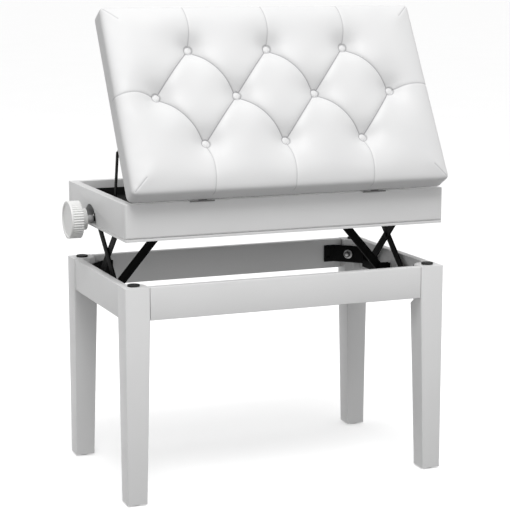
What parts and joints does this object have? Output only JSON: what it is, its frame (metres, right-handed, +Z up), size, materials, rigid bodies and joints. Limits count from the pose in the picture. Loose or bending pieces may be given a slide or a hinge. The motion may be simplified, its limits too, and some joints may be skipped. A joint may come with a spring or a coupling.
{
  "type": "piano bench",
  "caption": "Height-adjustable piano bench: tapered-leg frame, scissor lift with side knob, storage box, tufted hinged lid held by a folding stay.",
  "frame": {"origin": "on the floor plane under the centre of the whole object's footprint, knob and open lid included", "axes": "+Z up, +X along the bench away from the knob end, +Y toward the lid's opening side"},
  "size_m": [0.599, 0.3619, 0.7914],
  "materials": {
    "paint": "satin white paint on wood",
    "leather": "smooth white faux leather over foam",
    "lining": "dark lining cloth under the plywood",
    "black_steel": "black powder coat",
    "tray_black": "matt black",
    "zinc": "zinc plated",
    "rubber": "matt black rubber",
    "nylon": "off-white nylon",
    "plastic": "white moulded plastic"
  },
  "bodies": {
    "stand": {"leg_rear_left": "paint", "leg_rear_right": "paint", "leg_front_right": "paint", "leg_front_left": "paint", "apron_rear": "paint", "apron_front": "paint", "apron_left": "paint", "apron_right": "paint", "corner_bracket_rear_left": "black_steel", "corner_bracket_rear_right": "black_steel", "corner_bracket_front_right": "black_steel", "corner_bracket_front_left": "black_steel", "corner_bolt_rear_left": "zinc", "corner_bolt_rear_right": "zinc", "corner_bolt_front_right": "zinc", "corner_bolt_front_left": "zinc", "bumper_rear_left": "rubber", "bumper_rear_right": "rubber", "bumper_front_right": "rubber", "bumper_front_left": "rubber", "glide_rear_left": "nylon", "glide_rear_right": "nylon", "glide_front_right": "nylon", "glide_front_left": "nylon", "lower_rail_left": "black_steel", "lower_rail_right": "black_steel"},
    "seat_box": {"box_base_ring": "paint", "box_wall_rear": "paint", "box_wall_front": "paint", "box_wall_left": "paint", "box_wall_right": "paint", "storage_tray": "tray_black", "upper_rail_left": "black_steel", "upper_rail_right": "black_steel", "stay_box_plate": "black_steel", "hinge_box_leaf_left": "black_steel", "hinge_box_leaf_right": "black_steel"},
    "lid": {"lid_board": "lining", "cushion": "leather", "hinge_lid_leaf_left": "black_steel", "hinge_lid_leaf_right": "black_steel", "stay_lid_bracket": "black_steel"},
    "stay_lower": {"stay_lower_arm": "black_steel"},
    "stay_upper": {"stay_upper_arm": "black_steel"},
    "scissor_outer_l": {"scissor_outer_left": "black_steel"},
    "scissor_inner_l": {"scissor_inner_left": "black_steel"},
    "scissor_outer_r": {"scissor_outer_right": "black_steel"},
    "scissor_inner_r": {"scissor_inner_right": "black_steel"},
    "drive_arm_l": {"drive_arm_left": "black_steel"},
    "drive_arm_r": {"drive_arm_right": "black_steel"},
    "nut_l": {"screw_nut_left": "zinc"},
    "nut_r": {"screw_nut_right": "zinc"},
    "knob_and_screw": {"knob": "plastic", "knob_sleeve": "plastic", "lead_screw": "black_steel"}
  },
  "joints": [
    {"name": "seat_lift", "type": "slide", "parent": "stand", "child": "seat_box", "axis": [0, 0, 1], "range_m": [-0.069, 0.01]},
    {"name": "lid_hinge", "type": "hinge", "parent": "seat_box", "child": "lid", "pos_m": [0.02, -0.1464, 0.4864], "axis": [1, 0, 0], "range_deg": [-60, 0]},
    {"name": "knob_turn", "type": "hinge", "parent": "seat_box", "child": "knob_and_screw", "pos_m": [-0.28, 0.048, 0.4382], "axis": [1, 0, 0], "range_deg": [-3440, 500]},
    {"name": "nut_left_travel", "type": "slide", "parent": "seat_box", "child": "nut_l", "axis": [1, 0, 0], "range_m": [-0.0075, 0.0512]},
    {"name": "nut_right_travel", "type": "slide", "parent": "seat_box", "child": "nut_r", "axis": [1, 0, 0], "range_m": [-0.0512, 0.0075]},
    {"name": "drive_arm_left_pivot", "type": "hinge", "parent": "stand", "child": "drive_arm_l", "pos_m": [-0.227, 0.017, 0.321], "axis": [0, 1, 0], "range_deg": [-4.5, 30.8]},
    {"name": "drive_arm_right_pivot", "type": "hinge", "parent": "stand", "child": "drive_arm_r", "pos_m": [0.267, 0.017, 0.321], "axis": [0, 1, 0], "range_deg": [-30.8, 4.5]},
    {"name": "scissor_outer_left_pivot", "type": "hinge", "parent": "stand", "child": "scissor_outer_l", "pos_m": [-0.2384, -0.0425, 0.328], "axis": [1, 0, 0], "range_deg": [-28.5, 4.2]},
    {"name": "scissor_outer_right_pivot", "type": "hinge", "parent": "stand", "child": "scissor_outer_r", "pos_m": [0.2784, -0.0425, 0.328], "axis": [1, 0, 0], "range_deg": [-28.5, 4.2]},
    {"name": "scissor_inner_left_pivot", "type": "hinge", "parent": "seat_box", "child": "scissor_inner_l", "pos_m": [-0.2356, -0.0425, 0.439], "axis": [1, 0, 0], "range_deg": [-4.2, 28.5]},
    {"name": "scissor_inner_right_pivot", "type": "hinge", "parent": "seat_box", "child": "scissor_inner_r", "pos_m": [0.2756, -0.0425, 0.439], "axis": [1, 0, 0], "range_deg": [-4.2, 28.5]},
    {"name": "stay_lower_pivot", "type": "hinge", "parent": "seat_box", "child": "stay_lower", "pos_m": [-0.2372, -0.027, 0.471], "axis": [1, 0, 0], "range_deg": [-105, 0]},
    {"name": "stay_upper_pivot", "type": "hinge", "parent": "lid", "child": "stay_upper", "pos_m": [-0.2349, -0.06526, 0.60814], "axis": [1, 0, 0], "range_deg": [0, 117.7]}
  ],
  "couplings": [
    {"joint": "knob_turn", "follows": "seat_lift", "rad_per_m": 870},
    {"joint": "nut_left_travel", "follows": "seat_lift", "ratio": -0.74},
    {"joint": "nut_right_travel", "follows": "seat_lift", "ratio": 0.74},
    {"joint": "drive_arm_left_pivot", "follows": "seat_lift", "rad_per_m": -7.767},
    {"joint": "drive_arm_right_pivot", "follows": "seat_lift", "rad_per_m": 7.767},
    {"joint": "scissor_outer_left_pivot", "follows": "seat_lift", "rad_per_m": 7.19},
    {"joint": "scissor_outer_right_pivot", "follows": "seat_lift", "rad_per_m": 7.19},
    {"joint": "scissor_inner_left_pivot", "follows": "seat_lift", "rad_per_m": -7.19},
    {"joint": "scissor_inner_right_pivot", "follows": "seat_lift", "rad_per_m": -7.19},
    {"joint": "stay_lower_pivot", "follows": "lid_hinge", "ratio": 1.749},
    {"joint": "stay_upper_pivot", "follows": "lid_hinge", "ratio": -1.961}
  ]
}
